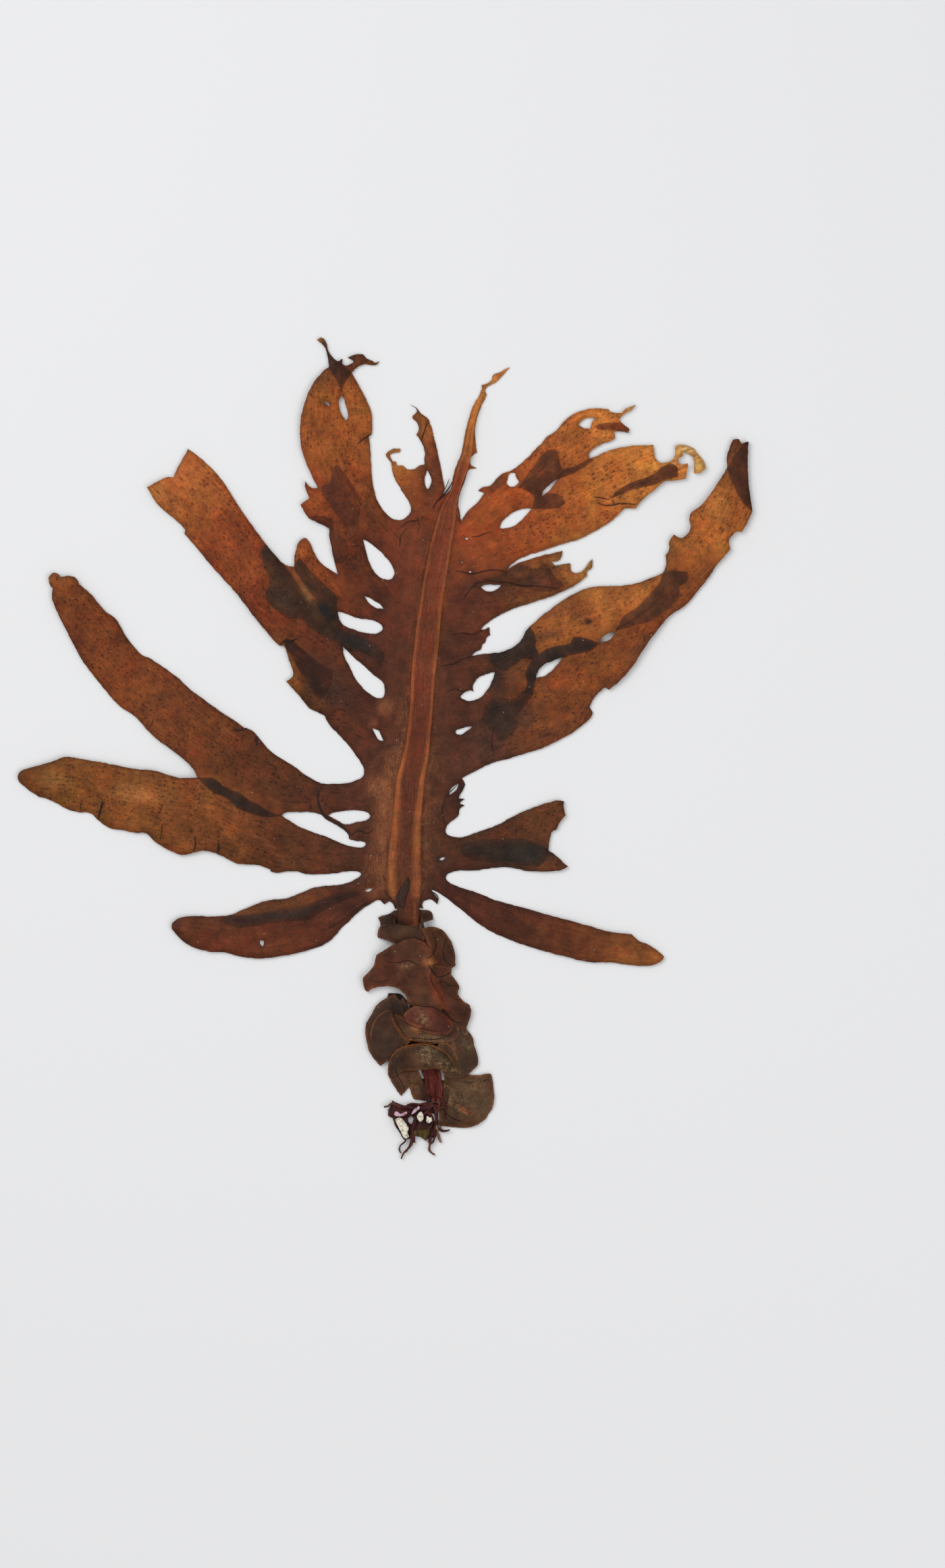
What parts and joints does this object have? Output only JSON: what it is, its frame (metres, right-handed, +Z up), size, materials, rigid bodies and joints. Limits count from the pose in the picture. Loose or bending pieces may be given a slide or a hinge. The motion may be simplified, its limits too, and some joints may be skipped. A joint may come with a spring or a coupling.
{
  "type": "dried seaweed plant",
  "caption": "Flat pressed brown seaweed plant with a lobed blade, a midrib, frilled leaves at the base of the stipe and a small branched holdfast.",
  "frame": {"origin": "middle of the plant's box, on the surface that it lies on", "axes": "+Y from the holdfast towards the tip of the midrib, +X to the right of it seen from above, +Z up from the surface"},
  "size_m": [0.2124, 0.2378, 0.0054],
  "materials": {
    "blade": "dry, thin and slightly glossy",
    "midrib": "dry and slightly glossy",
    "sporophylls": "dry, with a fine weave pressed into it",
    "holdfast": "dry and slightly glossy",
    "white_crust": "chalky",
    "pink_crust": "chalky"
  },
  "bodies": {
    "root": {"blade": "blade", "midrib_stipe": "midrib", "sporophylls": "sporophylls", "holdfast": "holdfast", "white_crust_left": "white_crust", "white_crust_middle": "white_crust", "white_crust_right": "white_crust", "pink_crust_left": "pink_crust", "pink_crust_right": "pink_crust"}
  },
  "joints": []
}
